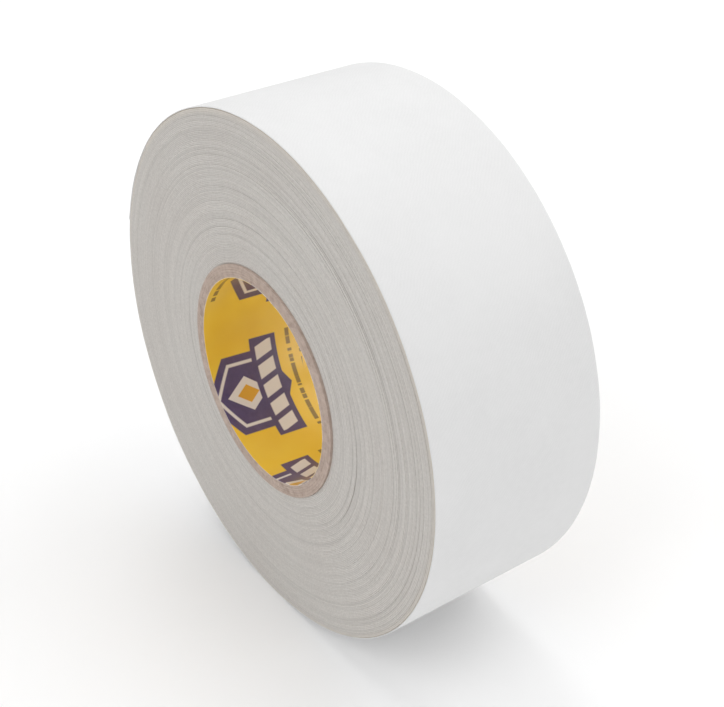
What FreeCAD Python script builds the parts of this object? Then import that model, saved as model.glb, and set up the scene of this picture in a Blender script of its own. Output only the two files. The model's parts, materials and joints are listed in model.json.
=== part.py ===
import FreeCAD, Part
import math
import os

# A roll of woven cotton stick tape that stands on its rim. Millimetres, +Z up.
# The roll's axis runs along Y. The origin is on the ground under the middle of the roll.
# One long strip, a cloth with a layer of rubber adhesive on its inner side, is wound in a
# spiral on a paperboard core. The adhesive bonds the laps, so all but the outer one are a
# closed ring. The outer lap and the free end that a hand lifts show the strip's two layers.

# Driving dimensions
TAPE_WIDTH = 38.0
CLOTH = 0.22            # thickness of the cotton cloth
ADHESIVE = 0.09         # thickness of the rubber adhesive on the cloth's inner side
LAP_GAP = 0.008         # air left under the outer lap
LAPS = 94
CORE_BORE_RADIUS = 21.3
CORE_LENGTH = 39.0      # the core is cut a little longer than the tape is wide
LINER = 0.12            # the printed paper that lines the core
PLY_COUNT = 5
PLY = 0.5124            # thickness of one layer of board in the core
END_ANGLE = 140.0       # where the strip leaves the roll, in degrees from +X towards +Z
TAIL_SEGMENTS = ("root", "middle", "tip")
TAIL_SEGMENT_ANGLE = 8.5

# Worked out from them
STRIP = CLOTH + ADHESIVE
PITCH = STRIP + LAP_GAP
LINER_OUTER = CORE_BORE_RADIUS + LINER
CORE_OUTER = LINER_OUTER + PLY_COUNT * PLY
END_RADIUS = CORE_OUTER + LAPS * PITCH + PITCH  # outer face of the strip where it ends
AXIS_HEIGHT = END_RADIUS - PITCH                # the outer lap meets the ground
OUTER_LAP = (2 * (LAPS - 1), 2 * LAPS - 1)      # the two half turns of the outer lap


def polar(radius, angle, centre=(0.0, 0.0)):
    """The point at a radius and an angle about the roll's axis, or about a centre beside it."""
    x = centre[0] + radius * math.cos(math.radians(angle))
    z = centre[1] + radius * math.sin(math.radians(angle))
    return FreeCAD.Vector(x, -TAPE_WIDTH / 2, AXIS_HEIGHT + z)


def arc(radius, start, sweep, centre=(0.0, 0.0)):
    """A round edge that starts at one angle and sweeps through another."""
    points = [polar(radius, start + part * sweep, centre) for part in (0.0, 0.5, 1.0)]
    return Part.Arc(*points).toShape()


def half_turn_radius(half_turn):
    """The radius of the strip's inner face in one half turn. Each is half a pitch larger."""
    return CORE_OUTER + half_turn * PITCH / 2


def outer_lap_edges(offset):
    """The two arcs of the outer lap, at a height above the lap below it.

    The second is centred half a pitch to the side, so that the arcs meet with no corner.
    """
    side = math.radians(END_ANGLE)
    beside = (PITCH / 2 * math.cos(side), PITCH / 2 * math.sin(side))
    first, second = (half_turn_radius(half_turn) + offset for half_turn in OUTER_LAP)
    return [arc(first, END_ANGLE, 180.0), arc(second, END_ANGLE + 180.0, 180.0, beside)]


def across_width(edges):
    """The solid whose section is a closed loop of edges, as wide as the tape."""
    face = Part.Face(Part.Wire(Part.__sortEdges__(edges)))
    return face.extrude(FreeCAD.Vector(0, TAPE_WIDTH, 0))


def tube(inner_radius, outer_radius, length):
    """A round tube on the roll's axis."""
    base = FreeCAD.Vector(0, -length / 2, AXIS_HEIGHT)
    along = FreeCAD.Vector(0, 1, 0)
    outside = Part.makeCylinder(outer_radius, length, base, along)
    return outside.cut(Part.makeCylinder(inner_radius, length, base, along))


def wound_laps():
    """The bonded laps. The outside has a step of one lap, where the outer lap starts."""
    rim = outer_lap_edges(0.0)
    step = Part.makeLine(rim[-1].lastVertex().Point, rim[0].firstVertex().Point)
    base = FreeCAD.Vector(0, -TAPE_WIDTH / 2, AXIS_HEIGHT)
    hole = Part.makeCylinder(CORE_OUTER, TAPE_WIDTH, base, FreeCAD.Vector(0, 1, 0))
    return across_width(rim + [step]).cut(hole)


def outer_lap_layer(offset, thickness):
    """One layer of the outer lap, from the step to where the strip leaves the roll."""
    inner = outer_lap_edges(offset)
    outer = outer_lap_edges(offset + thickness)
    start = Part.makeLine(inner[0].firstVertex().Point, outer[0].firstVertex().Point)
    end = Part.makeLine(inner[-1].lastVertex().Point, outer[-1].lastVertex().Point)
    return across_width(inner + outer + [start, end])


def tail_layer(outer_radius, thickness, start):
    """One layer of one segment of the free end, which lies on the outer lap."""
    inner_radius = outer_radius - thickness
    sides = [
        Part.makeLine(polar(inner_radius, angle), polar(outer_radius, angle))
        for angle in (start, start + TAIL_SEGMENT_ANGLE)
    ]
    rims = [arc(radius, start, TAIL_SEGMENT_ANGLE) for radius in (inner_radius, outer_radius)]
    return across_width(sides + rims)


def core():
    """The printed liner and the plies of board around it, flush with each other."""
    pieces = {"core_liner": tube(CORE_BORE_RADIUS, LINER_OUTER, CORE_LENGTH)}
    for ply in range(PLY_COUNT):
        inner_radius = LINER_OUTER + ply * PLY
        pieces[f"core_ply_{ply + 1}"] = tube(inner_radius, inner_radius + PLY, CORE_LENGTH)
    return pieces


def winding():
    """The wound strip. Its adhesive faces the core and its cloth faces out."""
    return {
        "wound_laps": wound_laps(),
        "outer_lap_adhesive": outer_lap_layer(LAP_GAP, ADHESIVE),
        "outer_lap_cloth": outer_lap_layer(LAP_GAP + ADHESIVE, CLOTH),
    }


def tail():
    """The free end, as segments that hinge on the cloth's outer face."""
    pieces = {}
    for number, name in enumerate(TAIL_SEGMENTS):
        start = END_ANGLE + number * TAIL_SEGMENT_ANGLE
        pieces[f"tail_cloth_{name}"] = tail_layer(END_RADIUS, CLOTH, start)
        pieces[f"tail_adhesive_{name}"] = tail_layer(END_RADIUS - CLOTH, ADHESIVE, start)
        hinge = polar(END_RADIUS, start)
        print(f"hinge of tail {name}: x {hinge.x:.4f}, z {hinge.z:.4f}")
    return pieces


os.makedirs("parts", exist_ok=True)
for name, shape in {**core(), **winding(), **tail()}.items():
    shape.exportStep(f"parts/{name}.step")
    print(f"{name}: {shape.Volume:.1f} mm3, valid {shape.isValid()}")
print(f"axis height {AXIS_HEIGHT:.3f}, outer radius {END_RADIUS:.3f}, core {CORE_OUTER:.3f}")
middle_of_strip = LAP_GAP + STRIP / 2
wound = sum(math.pi * (half_turn_radius(turn) + middle_of_strip) for turn in range(2 * LAPS))
print(f"tape wound on the core: {wound / 1000:.2f} m")
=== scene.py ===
import json
import math

import bmesh
import bpy
import numpy as np
from mathutils import Matrix, Vector


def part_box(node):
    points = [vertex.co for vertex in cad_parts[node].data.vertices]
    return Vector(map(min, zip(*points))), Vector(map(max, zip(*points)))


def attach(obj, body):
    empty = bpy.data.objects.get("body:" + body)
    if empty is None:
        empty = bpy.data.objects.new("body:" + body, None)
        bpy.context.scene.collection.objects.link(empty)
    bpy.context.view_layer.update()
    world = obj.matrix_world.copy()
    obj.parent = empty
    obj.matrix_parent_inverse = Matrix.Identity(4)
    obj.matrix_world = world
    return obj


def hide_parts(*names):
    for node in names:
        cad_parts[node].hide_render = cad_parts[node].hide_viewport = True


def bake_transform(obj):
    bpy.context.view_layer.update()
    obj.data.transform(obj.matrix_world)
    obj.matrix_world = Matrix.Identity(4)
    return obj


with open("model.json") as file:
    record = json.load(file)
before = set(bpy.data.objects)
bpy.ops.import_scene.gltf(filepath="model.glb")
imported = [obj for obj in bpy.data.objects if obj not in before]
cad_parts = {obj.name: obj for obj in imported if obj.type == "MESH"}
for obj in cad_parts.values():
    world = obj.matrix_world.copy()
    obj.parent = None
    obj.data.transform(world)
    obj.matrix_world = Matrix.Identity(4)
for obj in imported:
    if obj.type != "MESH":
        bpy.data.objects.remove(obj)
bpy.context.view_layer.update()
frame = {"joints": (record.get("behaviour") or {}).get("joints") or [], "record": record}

MM = 0.001

# ---------------------------------------------------------------- sizes, from the frame

record = frame["record"]
joints = {joint["name"]: joint for joint in frame["joints"]}
bore = next(mount for mount in record["mounts"] if mount["name"] == "core_bore")

AXIS_Z = bore["pos_m"][2]
BORE = bore["dims"]["r_mm"] * MM
LINER_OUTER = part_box("core_liner")[1].x
CORE_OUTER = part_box("core_ply_5")[1].x
CORE_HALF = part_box("core_ply_5")[1].y
TAPE_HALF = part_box("outer_lap_cloth")[1].y


def hinge_polar(name):
    """The radius and angle of a tail hinge about the roll's axis."""
    x, _, z = joints[name]["pos_m"]
    return math.hypot(x, z - AXIS_Z), math.atan2(z - AXIS_Z, x)


END_RADIUS, END_ANGLE = hinge_polar("peel")
SEGMENT = hinge_polar("straighten_middle")[1] - END_ANGLE
LAPS = 94
PITCH = (END_RADIUS - CORE_OUTER) / (LAPS + 1)
ADHESIVE = 0.09 * MM
CLOTH = 0.22 * MM
AIR = PITCH - ADHESIVE - CLOTH

# The liner's print, in millimetres on the paper
BADGE_PITCH = 29.6      # from one badge to the next in a row
BADGE_RISE = 6.6        # how far a row climbs along the bore over one such step
ROW_PITCH = 27.0        # from one row to the next along the bore
BADGE_DEPTH = 6.8       # from the tape's front side to the middle of one badge
BADGE_ANGLE = 228.5     # degrees round the bore, from the top, to the same badge
BADGE_TURN = math.radians(4.5)
HEXAGON = 8.6
OUTLINE = (6.3, 7.0)
DIAMOND, HEART = 4.9, 2.6
BAR_MIDDLE = 5.2
BAR_HALF_WIDTH, BLOCK_HALF_WIDTH = 3.2, 2.0
BAR_HALF_LENGTH, BLOCKS_HALF_LENGTH = 11.2, 10.3
BLOCK_PITCH, BLOCK_HALF_LENGTH, BLOCK_SLANT = 4.2, 1.45, -0.35
DASH_LINES = ((11.4, 11.5), (14.2, 10.0), (-11.9, 6.5))  # middle and half length of each line
DASH_HALF_WIDTH = 0.5

# The weave, in millimetres
THREAD_ALONG, THREAD_ACROSS = 0.42, 0.40
THREAD_WANDER = 2.4

rng = np.random.default_rng(7)


# ---------------------------------------------------------------- mesh helpers

def polar_points(radius, angle, y):
    """Points at radii and angles about the roll's axis, for arrays of one shape."""
    radius, angle, y = np.broadcast_arrays(radius, angle, y)
    return np.stack(
        [radius * np.cos(angle), y, AXIS_Z + radius * np.sin(angle)], axis=-1
    )


def add_object(name, data):
    """A new object in the scene."""
    item = bpy.data.objects.new(name, data)
    bpy.context.scene.collection.objects.link(item)
    return item


def new_piece(name, points, faces, sharp=math.radians(35)):
    """A mesh object with outward normals, shaded smooth except across sharp edges."""
    mesh = bpy.data.meshes.new(name)
    mesh.from_pydata(points.reshape(-1, 3).tolist(), [], faces)
    work = bmesh.new()
    work.from_mesh(mesh)
    bmesh.ops.recalc_face_normals(work, faces=work.faces)
    work.to_mesh(mesh)
    work.free()
    mesh.shade_smooth()
    mesh.set_sharp_from_angle(angle=sharp)
    return add_object(name, mesh)


def ring_faces(rows, columns, row_closed=False, column_closed=False):
    """Quads over a grid of rows by columns, closed on itself along either way."""
    row_count = rows if row_closed else rows - 1
    column_count = columns if column_closed else columns - 1
    r, c = np.meshgrid(np.arange(row_count), np.arange(column_count), indexing="ij")
    r2, c2 = (r + 1) % rows, (c + 1) % columns
    corners = [r * columns + c, r * columns + c2, r2 * columns + c2, r2 * columns + c]
    return np.stack(corners, axis=-1).reshape(-1, 4).tolist()


def vertex_values(piece, name, values):
    """A number on every vertex, which the material reads by name."""
    attribute = piece.data.attributes.new(name, "FLOAT", "POINT")
    attribute.data.foreach_set("value", np.asarray(values, np.float32).ravel())


def corner_map(piece, name, uv):
    """A UV map from one pair of numbers for each vertex."""
    mesh = piece.data
    layer = mesh.uv_layers.new(name=name)
    which = np.zeros(len(mesh.loops), np.int32)
    mesh.loops.foreach_get("vertex_index", which)
    layer.data.foreach_set("uv", np.asarray(uv, np.float32).reshape(-1, 2)[which].ravel())


def smooth_noise(count, step, closed=False):
    """A wavering line of count values, with a random value at every step of them."""
    knots = max(int(round(count / step)), 2)
    values = rng.normal(size=knots)
    if closed:
        values = np.append(values, values[0])
    at = np.linspace(0, len(values) - 1, count, endpoint=not closed)
    low = np.minimum(at.astype(int), len(values) - 2)
    t = at - low
    t = t * t * (3 - 2 * t)
    return values[low] * (1 - t) + values[low + 1] * t


# ---------------------------------------------------------------- materials

class Nodes:
    """A short way to write a material's nodes."""

    def __init__(self, name):
        self.material = bpy.data.materials.new(name)
        self.material.use_nodes = True
        self.tree = self.material.node_tree
        self.shader = self.tree.nodes["Principled BSDF"]

    def add(self, kind, *inputs, **settings):
        node = self.tree.nodes.new("ShaderNode" + kind)
        for key, value in settings.items():
            setattr(node, key, value)
        for socket, value in zip(node.inputs, inputs):
            self.feed(socket, value)
        return node

    def feed(self, socket, value):
        """Links a socket, or sets it to a constant."""
        if isinstance(value, bpy.types.NodeSocket):
            self.tree.links.new(value, socket)
        elif value is not None:
            socket.default_value = value

    def math(self, operation, *inputs):
        return self.add("Math", *inputs, operation=operation).outputs[0]

    def attribute(self, name):
        return self.add("Attribute", attribute_name=name).outputs["Fac"]

    def coordinates(self):
        return self.add("TexCoord").outputs["Object"]

    def noise(self, vector, scale, detail, roughness, stretch=None):
        if stretch is not None:
            vector = self.add("Mapping", vector, None, None, stretch).outputs[0]
        return self.add("TexNoise", vector, None, scale, detail, roughness).outputs[0]

    def spread(self, value, from_low, from_high, to_low=0.0, to_high=1.0):
        """A value's place in one range, carried to another."""
        return self.add(
            "MapRange", value, from_low, from_high, to_low, to_high, clamp=True
        ).outputs[0]

    def mix(self, share, first, second):
        """Two colours, where a share of 1 gives the second."""
        node = self.tree.nodes.new("ShaderNodeMix")
        node.data_type = "RGBA"
        for socket, value in zip((node.inputs[0], node.inputs[6], node.inputs[7]),
                                 (share, first, second)):
            self.feed(socket, value)
        return node.outputs[2]

    def bump(self, height, distance, strength):
        node = self.add("Bump")
        self.feed(node.inputs["Strength"], strength)
        self.feed(node.inputs["Distance"], distance)
        self.feed(node.inputs["Height"], height)
        return node.outputs[0]

    def set(self, **values):
        """Feeds the shader's sockets, named with _ for a space. Returns the material."""
        for name, value in values.items():
            self.feed(self.shader.inputs[name.replace("_", " ")], value)
        return self.material


def grey(value, tint=(1.0, 1.0, 1.0)):
    """A grey, or a tint of it, as a colour for a socket."""
    return tuple(value * part for part in tint) + (1.0,)


def weave_height(n, uv):
    """The height of a plain weave over a map in millimetres: each thread crosses over and under.

    The threads wander a little, as they do in a light cloth.
    """
    wander = n.add("TexNoise", uv, None, 0.16, 3.0, 0.6).outputs["Color"]
    reach = (THREAD_WANDER, THREAD_WANDER, 0.0)
    moved = n.add("VectorMath", wander, reach, uv, operation="MULTIPLY_ADD").outputs[0]
    split = n.add("SeparateXYZ", moved)
    u = n.math("DIVIDE", split.outputs[0], THREAD_ALONG)
    v = n.math("DIVIDE", split.outputs[1], THREAD_ACROSS)
    turns_u, turns_v = n.math("MULTIPLY", u, math.pi), n.math("MULTIPLY", v, math.pi)
    phase = n.math("MULTIPLY", n.math("FLOOR", v), math.pi)
    phase_weft = n.math("MULTIPLY", n.math("FLOOR", u), math.pi)
    lengthwise = n.math(
        "MULTIPLY",
        n.math("ABSOLUTE", n.math("SINE", turns_v)),
        n.math("MULTIPLY_ADD", n.math("COSINE", n.math("ADD", turns_u, phase)), 0.5, 0.5),
    )
    crosswise = n.math(
        "MULTIPLY",
        n.math("ABSOLUTE", n.math("SINE", turns_u)),
        n.math("MULTIPLY_ADD", n.math("COSINE", n.math("ADD", turns_v, phase_weft)), -0.5, 0.5),
    )
    return n.math("MAXIMUM", lengthwise, crosswise)


def cloth_material():
    """White woven cotton with a light dressing."""
    n = Nodes("woven_cotton")
    uv = n.add("UVMap", uv_map="strip").outputs[0]
    weave = weave_height(n, uv)
    slub = n.noise(uv, 1.0, 3.0, 0.6, stretch=(0.25, 2.5, 1.0))
    slub_weft = n.noise(uv, 1.0, 3.0, 0.6, stretch=(2.5, 0.25, 1.0))
    patch = n.noise(n.coordinates(), 28.0, 3.0, 0.55)
    fleck = n.noise(n.coordinates(), 650.0, 2.0, 0.6)
    threads = n.math("MULTIPLY_ADD", n.math("ADD", slub, slub_weft), 0.6, weave)
    # Painted shade: where the weave dips between crossings it is coloured darker than at the
    # crossings.
    light = n.mix(n.spread(weave, 0.05, 0.7), grey(0.715), grey(0.735))
    light = n.mix(n.spread(fleck, 0.3, 0.7, 0.0, 0.25), light, grey(0.66))
    light = n.mix(n.spread(patch, 0.35, 0.65, 0.0, 0.5), light, grey(0.79))
    return n.set(
        Base_Color=light,
        Roughness=n.spread(weave, 0.0, 1.0, 0.95, 0.82),
        Normal=n.bump(threads, 0.015 * MM, 0.3),
        Specular_IOR_Level=0.25,
        Sheen_Weight=0.08,
        Sheen_Roughness=0.6,
    )


def laps_material():
    """The edges of the laps: cut cotton threads with darker adhesive between them."""
    n = Nodes("cut_edges_of_laps")
    cloth = n.attribute("cloth")
    recess_shade_and_tone = n.attribute("recess_shade_and_tone")
    rim = n.attribute("rim")
    place = n.coordinates()
    fibres = n.noise(place, 2200.0, 2.0, 0.6)
    clouds = n.noise(place, 60.0, 3.0, 0.5)
    streak = n.spread(fibres, 0.3, 0.7)
    thread = n.mix(streak, grey(0.57, (1, 0.955, 0.905)), grey(0.67, (1, 0.96, 0.91)))
    glue = n.mix(streak, grey(0.46, (1, 0.93, 0.86)), grey(0.54, (1, 0.94, 0.88)))
    face = n.mix(n.spread(cloth, 0.15, 0.85), glue, thread)
    # Painted shade: laps recessed in the side are coloured darker, laps that stand out lighter,
    # with a random tone over it.
    face = n.mix(n.spread(recess_shade_and_tone, -0.5, 2.0, 0.0, 0.45), face, grey(0.42, (1, 0.95, 0.90)))
    face = n.mix(n.spread(clouds, 0.35, 0.7, 0.0, 0.12), face, grey(0.66, (0.98, 1.0, 0.96)))
    # Painted highlight: towards the outer rim the laps' edges are coloured a lighter cream, where
    # light catches the rim.
    face = n.mix(n.math("MULTIPLY", rim, 0.45), face, (0.74, 0.68, 0.60, 1.0))
    return n.set(
        Base_Color=face,
        Roughness=n.spread(cloth, 0.0, 1.0, 0.7, 0.92),
        Normal=n.bump(fibres, 0.03 * MM, 0.35),
        Specular_IOR_Level=0.2,
    )


def adhesive_material():
    """Natural rubber adhesive, tacky, with the print of the cloth in it."""
    n = Nodes("rubber_adhesive")
    uv = n.add("UVMap", uv_map="strip").outputs[0]
    weave = weave_height(n, uv)
    patch = n.noise(n.coordinates(), 180.0, 4.0, 0.6)
    colour = n.mix(n.spread(patch, 0.3, 0.7), (0.60, 0.53, 0.43, 1), (0.69, 0.62, 0.52, 1))
    return n.set(
        Base_Color=colour,
        Roughness=n.spread(patch, 0.3, 0.7, 0.38, 0.55),
        Normal=n.bump(weave, 0.02 * MM, 0.5),
    )


def board_material():
    """Grey-brown paper board, with fibres along the plies."""
    n = Nodes("core_board")
    place = n.coordinates()
    fibre = n.noise(place, 900.0, 4.0, 0.65)
    speck = n.noise(place, 350.0, 2.0, 0.5)
    colour = n.mix(n.spread(fibre, 0.3, 0.7), (0.41, 0.32, 0.27, 1), (0.56, 0.455, 0.395, 1))
    colour = n.mix(n.spread(speck, 0.62, 0.72, 0.0, 0.5), colour, (0.28, 0.20, 0.16, 1))
    return n.set(
        Base_Color=colour,
        Roughness=n.spread(fibre, 0.3, 0.7, 0.95, 0.8),
        Normal=n.bump(fibre, 0.05 * MM, 0.5),
        Specular_IOR_Level=0.2,
    )


def liner_material():
    """Glossy printed paper: plain badges, bars and dashes in indigo and white on yellow."""
    n = Nodes("printed_liner")
    place = n.coordinates()
    print_at = n.add("SeparateXYZ", n.add("UVMap", uv_map="print").outputs[0])
    around, along = print_at.outputs[0], print_at.outputs[1]

    def nearest(value, pitch):
        """How far value is from the nearest whole number of pitches."""
        shifted = n.math("FLOORED_MODULO", n.math("ADD", value, pitch / 2), pitch)
        return n.math("SUBTRACT", shifted, pitch / 2)

    def under(value, edge, soft=0.12):
        """1 where value is under edge, with a soft rim of ink."""
        return n.spread(value, edge - soft, edge + soft, 1.0, 0.0)

    def all_of(first, *others):
        """1 where every one of some values is 1."""
        for other in others:
            first = n.math("MULTIPLY", first, other)
        return first

    def off(value, middle):
        """How far value is from middle."""
        return n.math("ABSOLUTE", n.math("SUBTRACT", value, middle))

    # The badges lie in slanting rows, each badge turned a little on the paper.
    across_rows = n.math("MULTIPLY_ADD", around, -BADGE_RISE / BADGE_PITCH, along)
    across = nearest(across_rows, ROW_PITCH)
    step_x = nearest(around, BADGE_PITCH)
    step_y = n.math("MULTIPLY_ADD", step_x, BADGE_RISE / BADGE_PITCH, across)
    x = n.math("MULTIPLY_ADD", step_y, math.sin(BADGE_TURN), step_x)
    y = n.math("MULTIPLY_ADD", step_x, -math.sin(BADGE_TURN), step_y)
    size_x, size_y = n.math("ABSOLUTE", x), n.math("ABSOLUTE", y)

    hexagon = n.math(
        "MAXIMUM", size_x, n.math("MULTIPLY_ADD", size_y, 0.866, n.math("MULTIPLY", size_x, 0.5))
    )
    diamond = n.math("MULTIPLY_ADD", size_x, 1.3, n.math("ABSOLUTE", n.math("ADD", y, 0.6)))
    slant = n.math("MULTIPLY_ADD", n.math("SUBTRACT", y, BAR_MIDDLE), BLOCK_SLANT, x)
    block = n.math("ABSOLUTE", nearest(slant, BLOCK_PITCH))
    outline = all_of(
        under(hexagon, OUTLINE[1]), n.math("SUBTRACT", 1.0, under(hexagon, OUTLINE[0]))
    )
    from_bar = off(y, BAR_MIDDLE)
    bar = all_of(under(from_bar, BAR_HALF_WIDTH), under(size_x, BAR_HALF_LENGTH))
    blocks = all_of(
        under(from_bar, BLOCK_HALF_WIDTH),
        under(size_x, BLOCKS_HALF_LENGTH),
        under(block, BLOCK_HALF_LENGTH),
    )

    ink = n.noise(place, 500.0, 3.0, 0.6)
    cloud = n.noise(place, 90.0, 2.0, 0.5)
    yellow = n.mix(n.spread(cloud, 0.3, 0.7), (0.93, 0.59, 0.05, 1), (0.98, 0.67, 0.07, 1))
    indigo = n.mix(n.spread(ink, 0.3, 0.7), (0.075, 0.055, 0.16, 1), (0.10, 0.075, 0.20, 1))
    white = (0.82, 0.78, 0.76, 1)
    orange = (0.78, 0.40, 0.03, 1)
    brown = (0.13, 0.08, 0.03, 1)
    bare_paper = (0.62, 0.55, 0.48, 1)
    colour = n.mix(under(hexagon, HEXAGON), yellow, indigo)
    colour = n.mix(outline, colour, white)
    colour = n.mix(under(diamond, DIAMOND), colour, white)
    colour = n.mix(under(diamond, HEART), colour, orange)
    colour = n.mix(bar, colour, indigo)
    colour = n.mix(blocks, colour, white)

    # Dashes of uneven length stand where such a label has its small print.
    for middle, half_length in DASH_LINES:
        row = n.add("CombineXYZ", x, middle * 7.0).outputs[0]
        dashes = n.spread(n.add("TexNoise", row, None, 0.9, 1.0, 0.5).outputs[0], 0.40, 0.46)
        line = all_of(
            under(off(y, middle), DASH_HALF_WIDTH), under(size_x, half_length), dashes
        )
        colour = n.mix(n.math("MULTIPLY", line, 0.8), colour, brown)
    colour = n.mix(n.attribute("printed"), bare_paper, colour)
    return n.set(
        Base_Color=colour,
        Roughness=n.spread(ink, 0.3, 0.7, 0.28, 0.38),
        Normal=n.bump(n.noise(place, 150.0, 2.0, 0.5), 0.03 * MM, 0.3),
        Coat_Weight=1.0,
        Coat_Roughness=0.25,
    )


# ---------------------------------------------------------------- the wound laps

def ramp(turn):
    """How far the strip has climbed, in pitches, at an angle past the strip's end.

    It matches the frame's two arcs: level for half a turn, then rising by one pitch.
    """
    return np.where(turn > math.pi, (1 + np.cos(turn)) / 2, 0.0)


# Across one lap, from the adhesive: place in the lap, height of its edge, share of cloth.
LAP_PROFILE = (
    (0.00, -0.030 * MM, 0.0),
    (0.27, 0.008 * MM, 0.8),
    (0.55, 0.016 * MM, 1.0),
    (0.86, 0.000 * MM, 0.6),
)
COLUMNS = 240               # points round the roll in each lap
LAP_GROUPS = (              # laps in a group, number of groups, how far they stand out at most
    (1, 40, 0.075 * MM),
    (2, 18, 0.060 * MM),
    (5, 16, 0.050 * MM),
)
GROUPS_AT, GROUPS_SPREAD = 45, 75   # degrees from the roll's right towards the top
CRUSHED_LAPS = 4            # the outer laps whose edges are pressed in
CRUSHED = 0.16 * MM
# Where the painted highlight at the outer rim begins, inside the roll's edge, and the width over
# which it grows.
RIM_HIGHLIGHT_FROM, RIM_HIGHLIGHT_OVER = 1.6 * MM, 1.2 * MM


def lap_offsets(laps):
    """How far each lap's edge stands out of the side, as one wavering line along the strip.

    Single laps, and a few groups of them, were wound a little off the line over part of a
    turn. Most of these are in the upper right half of the roll.
    """
    count = COLUMNS * laps
    offsets = smooth_noise(count, COLUMNS / 2.2) * 0.010 * MM
    offsets += smooth_noise(count, COLUMNS / 9.0) * 0.005 * MM
    turns = np.arange(count) / COLUMNS
    for group, events, height in LAP_GROUPS:
        for _ in range(events):
            angle = rng.normal(GROUPS_AT, GROUPS_SPREAD) - math.degrees(END_ANGLE)
            middle = rng.integers(0, laps) + (angle % 360) / 360
            reach = rng.uniform(0.06, 0.34)
            amount = rng.choice((-1, -1, 1)) * rng.uniform(0.4, 1.0) * height
            for lap in range(group):
                near = np.clip(np.abs(turns - middle - lap) / reach, 0, 1)
                offsets += amount * (1 - near**2) ** 2
    return offsets.reshape(laps, COLUMNS)


def side_of_laps(name, side):
    """Half of the wound ring, with the laps' edges in relief on one side."""
    laps, steps = LAPS - 1, len(LAP_PROFILE)
    rows = laps * steps
    turn = np.arange(COLUMNS) * 2 * math.pi / COLUMNS
    angle = END_ANGLE + turn
    place, height, cloth = np.array(LAP_PROFILE).T
    lap = np.arange(laps + 1)
    offsets = lap_offsets(laps + 1)
    wander = np.cumsum(rng.normal(size=laps + 1)) * 0.005 * MM
    wander = wander - np.linspace(wander[0], wander[-1], laps + 1)
    crushed = CRUSHED * np.clip((lap - laps + CRUSHED_LAPS) / CRUSHED_LAPS, 0, 1) ** 2

    climb = lap[:, None, None] + place[None, :, None] + ramp(turn)[None, None, :]
    climb[0, 0] = 0.0
    radius = CORE_OUTER + PITCH * climb
    y = TAPE_HALF + height[None, :, None] + offsets[:, None, :]
    y = y + (wander - crushed)[:, None, None]
    spots = polar_points(radius, angle[None, None, :], side * y).reshape(-1, COLUMNS, 3)
    shades = np.broadcast_to(cloth[None, :, None], radius.shape).reshape(-1, COLUMNS)
    # Painted shade and random tone: the further a lap is recessed, the darker it is coloured; a
    # slow random tone is added.
    recess_shade_and_tone = -offsets / (0.05 * MM)
    recess_shade_and_tone = recess_shade_and_tone + 0.5 * smooth_noise(recess_shade_and_tone.size, COLUMNS / 1.7).reshape(recess_shade_and_tone.shape)
    recess_shade_and_tone = np.broadcast_to(recess_shade_and_tone[:, None, :], radius.shape).reshape(-1, COLUMNS)

    # The grid ends where it began, one lap further out: its last column is the first one's
    # next lap, and three points more close the last lap.
    main = spots[: rows + 1].reshape(-1, 3)
    last = spots[rows + 1 : rows + steps, 0]
    closing = polar_points(CORE_OUTER + PITCH * (laps + 1), END_ANGLE, side * y[-1, 0, 0])
    inner_back = polar_points(np.full(COLUMNS, CORE_OUTER), angle, 0.0)
    outer_back = polar_points(CORE_OUTER + PITCH * (laps + ramp(turn)), angle, 0.0)
    points = np.concatenate([main, last, closing[None, :], inner_back, outer_back])
    extra = (rows + 1) * COLUMNS
    back_in = extra + steps
    back_out = back_in + COLUMNS

    def index(row, column):
        if column < COLUMNS:
            return row * COLUMNS + column
        row += steps
        return row * COLUMNS if row <= rows else extra + row - rows - 1

    faces = ring_faces(rows + 1, COLUMNS)
    end = COLUMNS - 1
    faces += [
        (index(row, end), index(row, COLUMNS), index(row + 1, COLUMNS), index(row + 1, end))
        for row in range(rows)
    ]
    for column in range(COLUMNS):
        after = (column + 1) % COLUMNS
        inner = (index(0, column), index(0, column + 1), back_in + after, back_in + column)
        outer = (index(rows, column), index(rows, column + 1), back_out + after, back_out + column)
        faces += [inner, outer]
        faces.append((back_in + column, back_in + after, back_out + after, back_out + column))
    faces.append([index(row, 0) for row in range(steps + 1)] + [back_in])
    faces.append([index(rows, 0)] + [extra + step for step in range(steps)] + [back_out])
    piece = new_piece(name, points, faces, sharp=math.radians(60))

    added = len(points) - extra
    vertex_values(piece, "cloth", np.append(shades[: rows + 1], np.ones(added)))
    vertex_values(piece, "recess_shade_and_tone", np.append(recess_shade_and_tone[: rows + 1], np.zeros(added)))
    # The painted highlight at the outer rim, kept in the rim attribute: 0 further in, 1 near the
    # edge.
    outwards = np.hypot(points[:, 0], points[:, 2] - AXIS_Z)
    rim = (outwards - END_RADIUS + RIM_HIGHLIGHT_FROM) / RIM_HIGHLIGHT_OVER
    vertex_values(piece, "rim", np.clip(rim, 0, 1))
    return piece


# ---------------------------------------------------------------- the strip's two layers

LAP_STEPS = 361             # points round the outer lap
SEGMENT_STEPS = 25          # points along one segment of the free end
EDGE_INSET = 0.12 * MM      # how far the strip's edges lie inside the CAD's width


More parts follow.
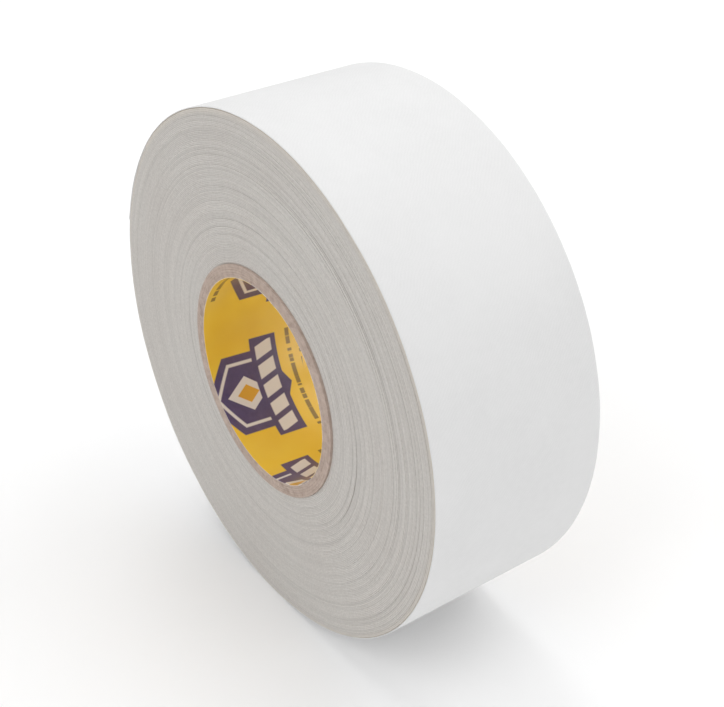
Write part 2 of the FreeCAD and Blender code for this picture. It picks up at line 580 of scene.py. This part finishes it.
def layer(name, turns, low, high, edges, across, cut=0.0):
    """A stretch of one layer of the strip, as a closed shell.

    turns are the angles past the strip's end, low and high the faces' radii there, edges how
    far the front and back edges are moved along the roll's axis, across the number of points
    over the width, and cut how unevenly the far end is cut.
    """
    thick = high - low
    soft = 0.25 * MM
    flat_half = TAPE_HALF - 1.2 * MM
    flat = np.linspace(-1, 1, across)[:, None] * flat_half + 0 * turns
    front, back = edges[0] - TAPE_HALF, edges[1] + TAPE_HALF
    lines = [(high, y) for y in flat]
    lines += [
        (high, back - soft),
        (high - 0.12 * thick, back - 0.06 * MM),
        (high - 0.5 * thick, back),
        (low + 0.12 * thick, back - 0.05 * MM),
        (low, back - soft),
        (low, front + soft),
        (low + 0.12 * thick, front + 0.05 * MM),
        (high - 0.5 * thick, front),
        (high - 0.12 * thick, front + 0.06 * MM),
        (high, front + soft),
    ]
    radius = np.stack([line[0] + 0 * turns for line in lines])
    y = np.stack([line[1] for line in lines])
    turn = turns[None, :] + np.zeros_like(y)
    turn[:, -1] += np.interp(y[:, -1], np.linspace(-TAPE_HALF, TAPE_HALF, 40),
                             smooth_noise(40, 1.5) * cut / END_RADIUS)
    points = polar_points(radius, END_ANGLE + turn, y)
    rows, columns = radius.shape
    faces = ring_faces(rows, columns, row_closed=True)
    faces.append([row * columns for row in range(rows)])
    faces.append([row * columns + columns - 1 for row in range(rows)])
    piece = new_piece(name, points, faces, sharp=math.radians(50))
    corner_map(piece, "strip", np.stack([turn * END_RADIUS / MM, y / MM], axis=-1))
    return piece


def outer_lap():
    """The outer lap's cloth and adhesive, up to where the strip can leave the roll."""
    turns = np.linspace(0, 2 * math.pi, LAP_STEPS)
    base = CORE_OUTER + PITCH * (LAPS - 1 + ramp(turns))
    base[-1] = CORE_OUTER + PITCH * LAPS
    edges = np.stack([
        smooth_noise(LAP_STEPS, 9) + 0.5 * smooth_noise(LAP_STEPS, 3) for _ in range(2)
    ])
    edges = (edges * [[1], [-1]]) * 0.03 * MM + np.array([[EDGE_INSET], [-EDGE_INSET]])
    inset = np.array([[0.03], [-0.03]]) * MM
    cloth = layer("outer_lap_woven", turns, base + AIR + ADHESIVE, base + PITCH, edges, 31)
    glue = layer("outer_lap_rubber", turns, base + AIR, base + AIR + ADHESIVE, edges + inset, 2)
    return cloth, glue


def tail_segment(number, name, cut):
    """One segment of the free end, cloth and adhesive, as it lies on the roll."""
    start = number * SEGMENT
    turns = start + SEGMENT * np.linspace(0, 1, SEGMENT_STEPS)
    edges = np.stack([smooth_noise(SEGMENT_STEPS, 8) for _ in range(2)]) * 0.02 * MM
    edges[:, 0] = edges[:, -1] = 0.0
    edges += np.array([[EDGE_INSET], [-EDGE_INSET]])
    inset = np.array([[0.08], [-0.08]]) * MM
    top = np.full(len(turns), END_RADIUS)
    seam = top - CLOTH
    cloth = layer(f"tail_{name}_woven", turns, seam, top, edges, 31, cut)
    glue = layer(f"tail_{name}_rubber", turns, seam - ADHESIVE, seam, edges + inset, 2)
    return cloth, glue


def loose_threads():
    """Short ends of cotton where the strip is cut across."""
    points, faces = [], []
    sides, steps = 6, 7
    around = np.arange(sides) * 2 * math.pi / sides
    for _ in range(15):
        length = rng.uniform(0.5, 1.7) * MM
        thick = rng.uniform(0.035, 0.055) * MM
        rise, drift = rng.uniform(-0.1, 0.5) * MM, rng.normal() * 0.4 * MM
        along = np.linspace(0, 1, steps)[:, None]
        turn = 3 * SEGMENT + (along * length - 0.2 * MM) / END_RADIUS
        radius = END_RADIUS - rng.uniform(0.3, 0.7) * CLOTH + rise * along**2
        y = rng.uniform(-0.96, 0.96) * TAPE_HALF + drift * along**2
        narrow = thick * (1 - 0.5 * along)
        tube = polar_points(
            radius + narrow * np.cos(around), END_ANGLE + turn, y + narrow * np.sin(around)
        )
        first = len(points) * steps * sides
        points.append(tube.reshape(-1, 3))
        quads = ring_faces(steps, sides, column_closed=True)
        quads += [list(range(sides)), list(range((steps - 1) * sides, steps * sides))]
        faces += [[first + corner for corner in face] for face in quads]
    piece = new_piece("loose_threads", np.concatenate(points), faces)
    corner_map(piece, "strip", np.concatenate(points)[:, :2] / MM)
    return piece


# ---------------------------------------------------------------- the core

CORE_COLUMNS = 180          # points round each ply
SEAM_START, SEAM_SWEEP = math.radians(15), math.radians(85)
SEAM_LIP, LIP_REACH = 0.09 * MM, math.radians(6)


def core_tube(name, inner, outer):
    """One ply of the core, with softly crushed rims and slightly uneven ends."""
    angle = np.arange(CORE_COLUMNS) * 2 * math.pi / CORE_COLUMNS
    bevel = min(0.12 * (outer - inner), 0.06 * MM)
    lines = []
    for side in (-1, 1):
        end = side * (CORE_HALF + smooth_noise(CORE_COLUMNS, 11, closed=True) * 0.02 * MM)
        rim = [
            (inner, end - side * bevel),
            (inner + bevel, end),
            (outer - bevel, end),
            (outer, end - side * bevel),
        ]
        lines += rim[::-side]
    points = np.stack([polar_points(radius, angle, y) for radius, y in lines])
    faces = ring_faces(len(lines), CORE_COLUMNS, row_closed=True, column_closed=True)
    return new_piece(name, points, faces, sharp=math.radians(40))


def liner():
    """The printed liner. Its paper laps over itself along a helix, where the print starts again."""
    columns, rows = 240, 40
    y = np.linspace(-CORE_HALF, CORE_HALF, rows)
    # angles from the top, clockwise as seen from the front
    seam = SEAM_START + SEAM_SWEEP * (y + CORE_HALF) / (2 * CORE_HALF)
    past_seam = np.arange(columns) * 2 * math.pi / columns
    angle = math.pi / 2 - seam[:, None] - past_seam[None, :]
    lip = SEAM_LIP * np.clip(1 - past_seam / LIP_REACH, 0, 1)
    face = polar_points(BORE - lip[None, :], angle, y[:, None])
    back = polar_points(LINER_OUTER, angle[::-1], y[::-1, None])
    points = np.concatenate([face, back])
    faces = ring_faces(2 * rows, columns, row_closed=True, column_closed=True)
    piece = new_piece("liner_paper", points, faces, sharp=math.radians(40))
    printed = np.repeat([1.0, 0.0], rows * columns)
    vertex_values(piece, "printed", printed)

    # millimetres round the bore and along it, from the middle of one badge
    seam_degrees = np.degrees(seam)[:, None]
    around = (seam_degrees + np.degrees(past_seam)[None, :] - BADGE_ANGLE) % 360
    start = seam_degrees - BADGE_ANGLE
    turned = np.radians(start + (around - start) % 360) * BORE / MM
    depth = (y + TAPE_HALF) / MM - BADGE_DEPTH
    layer_uv = piece.data.uv_layers.new(name="print")
    full_turn = 2 * math.pi * BORE / MM
    for polygon in piece.data.polygons:
        wraps = {index % columns for index in polygon.vertices} == {0, columns - 1}
        for loop in polygon.loop_indices:
            row, column = divmod(piece.data.loops[loop].vertex_index, columns)
            row = min(row, 2 * rows - 1 - row)
            u = turned[row, column] + (full_turn if wraps and column == 0 else 0.0)
            layer_uv.data[loop].uv = u, depth[row]
    return piece


# ---------------------------------------------------------------- build

cotton = cloth_material()
edges = laps_material()
rubber = adhesive_material()
board = board_material()
paper = liner_material()


def finish(piece, material, slot, *nodes):
    """Gives a piece its material and hides the CAD nodes that it stands for. Its slot is not used.
    """
    piece.data.materials.append(material)
    if nodes:
        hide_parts(*nodes)


def fix(piece, material, body, slot, *nodes):
    """A finished piece that moves with one body."""
    finish(piece, material, slot, *nodes)
    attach(piece, body)


for side_name, side in (("laps_front", -1), ("laps_back", 1)):
    fix(side_of_laps(side_name, side), edges, "roll", "cloth", "wound_laps")
lap_cloth, lap_glue = outer_lap()
fix(lap_cloth, cotton, "roll", "cloth", "outer_lap_cloth")
fix(lap_glue, rubber, "roll", "adhesive", "outer_lap_adhesive")

SEGMENTS = ("root", "middle", "tip")
UNEVEN_CUT = 0.12 * MM
for number, name in enumerate(SEGMENTS):
    angle = END_ANGLE + number * SEGMENT
    hinge = Vector(polar_points(END_RADIUS, angle, 0.0))
    tail_cloth, tail_glue = tail_segment(number, name, UNEVEN_CUT if name == "tip" else 0.0)
    finish(tail_cloth, cotton, "cloth", f"tail_cloth_{name}")
    finish(tail_glue, rubber, "adhesive", f"tail_adhesive_{name}")
    for piece in (tail_cloth, tail_glue):
        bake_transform(piece)
fix(loose_threads(), cotton, "tail_tip", "cloth")

PLY_COUNT = 5
PLY = (CORE_OUTER - LINER_OUTER) / PLY_COUNT
for ply in range(PLY_COUNT):
    inner = LINER_OUTER + ply * PLY
    tube = core_tube(f"board_ply_{ply + 1}", inner, inner + PLY)
    fix(tube, board, "roll", "core_board", f"core_ply_{ply + 1}")

fix(liner(), paper, "roll", "printed_liner", "core_liner")


# ---------------------------------------------------------------- floor, light and camera

LIGHT_DISTANCE = 1.15
LIGHT_SIZE = 0.7


def heading(azimuth, elevation):
    """The direction from the roll at angles in degrees; azimuth 0 is the front, 90 its right."""
    azimuth, elevation = math.radians(azimuth), math.radians(elevation)
    return Vector((
        math.sin(azimuth) * math.cos(elevation),
        -math.cos(azimuth) * math.cos(elevation),
        math.sin(elevation),
    ))


def floor():
    """A plain pale floor."""
    mesh = bpy.data.meshes.new("floor")
    size = 25.0
    corners = [(-size, -size, 0), (size, -size, 0), (size, size, 0), (-size, size, 0)]
    mesh.from_pydata(corners, [], [(0, 1, 2, 3)])
    mesh.materials.append(Nodes("floor").set(Base_Color=grey(0.95), Roughness=0.9))
    add_object("floor", mesh)


def area_light(name, azimuth, elevation, power):
    """A soft square light that faces the roll."""
    back = heading(azimuth, elevation)
    light = bpy.data.lights.new(name, "AREA")
    light.size = LIGHT_SIZE
    light.energy = power
    lamp = add_object(name, light)
    lamp.location = Vector((0, 0, AXIS_Z)) + LIGHT_DISTANCE * back
    lamp.rotation_euler = (-back).to_track_quat("-Z", "Y").to_euler()


def surroundings(strength):
    """A plain white room."""
    world = bpy.data.worlds.new("surroundings")
    world.use_nodes = True
    background = world.node_tree.nodes["Background"]
    background.inputs["Color"].default_value = (1, 1, 1, 1)
    background.inputs["Strength"].default_value = strength
    bpy.context.scene.world = world


def camera():
    """Stands off the middle of the front side, in radii of the roll, and looks down at it."""
    from_face = Vector((3.5074, -2.1037, 2.7574))
    azimuth, elevation = 54.0, 32.9
    data = bpy.data.cameras.new("camera")
    data.lens = 67.9
    data.sensor_width = 36.0
    data.clip_start, data.clip_end = 0.01, 20.0
    eye = add_object("camera", data)
    back = heading(azimuth, elevation)
    right = heading(azimuth + 90, 0)
    up = back.cross(right)
    turn = Matrix((right, up, back)).transposed().to_4x4()
    middle = Vector((0, -TAPE_HALF, AXIS_Z))
    radius = END_RADIUS - PITCH / 2
    eye.matrix_world = Matrix.Translation(middle + from_face * radius) @ turn
    bpy.context.scene.camera = eye


floor()
surroundings(0.5)
area_light("front", 5, 47, 3.3)
area_light("right", 120, 65, 1.7)
area_light("low_right", 120, 17, 2.5)
area_light("rear", 180, 45, 2.0)
area_light("left", 270, 65, 2.7)
area_light("left_rear", 240, 45, 1.8)
camera()
bpy.context.scene.view_settings.view_transform = "Standard"
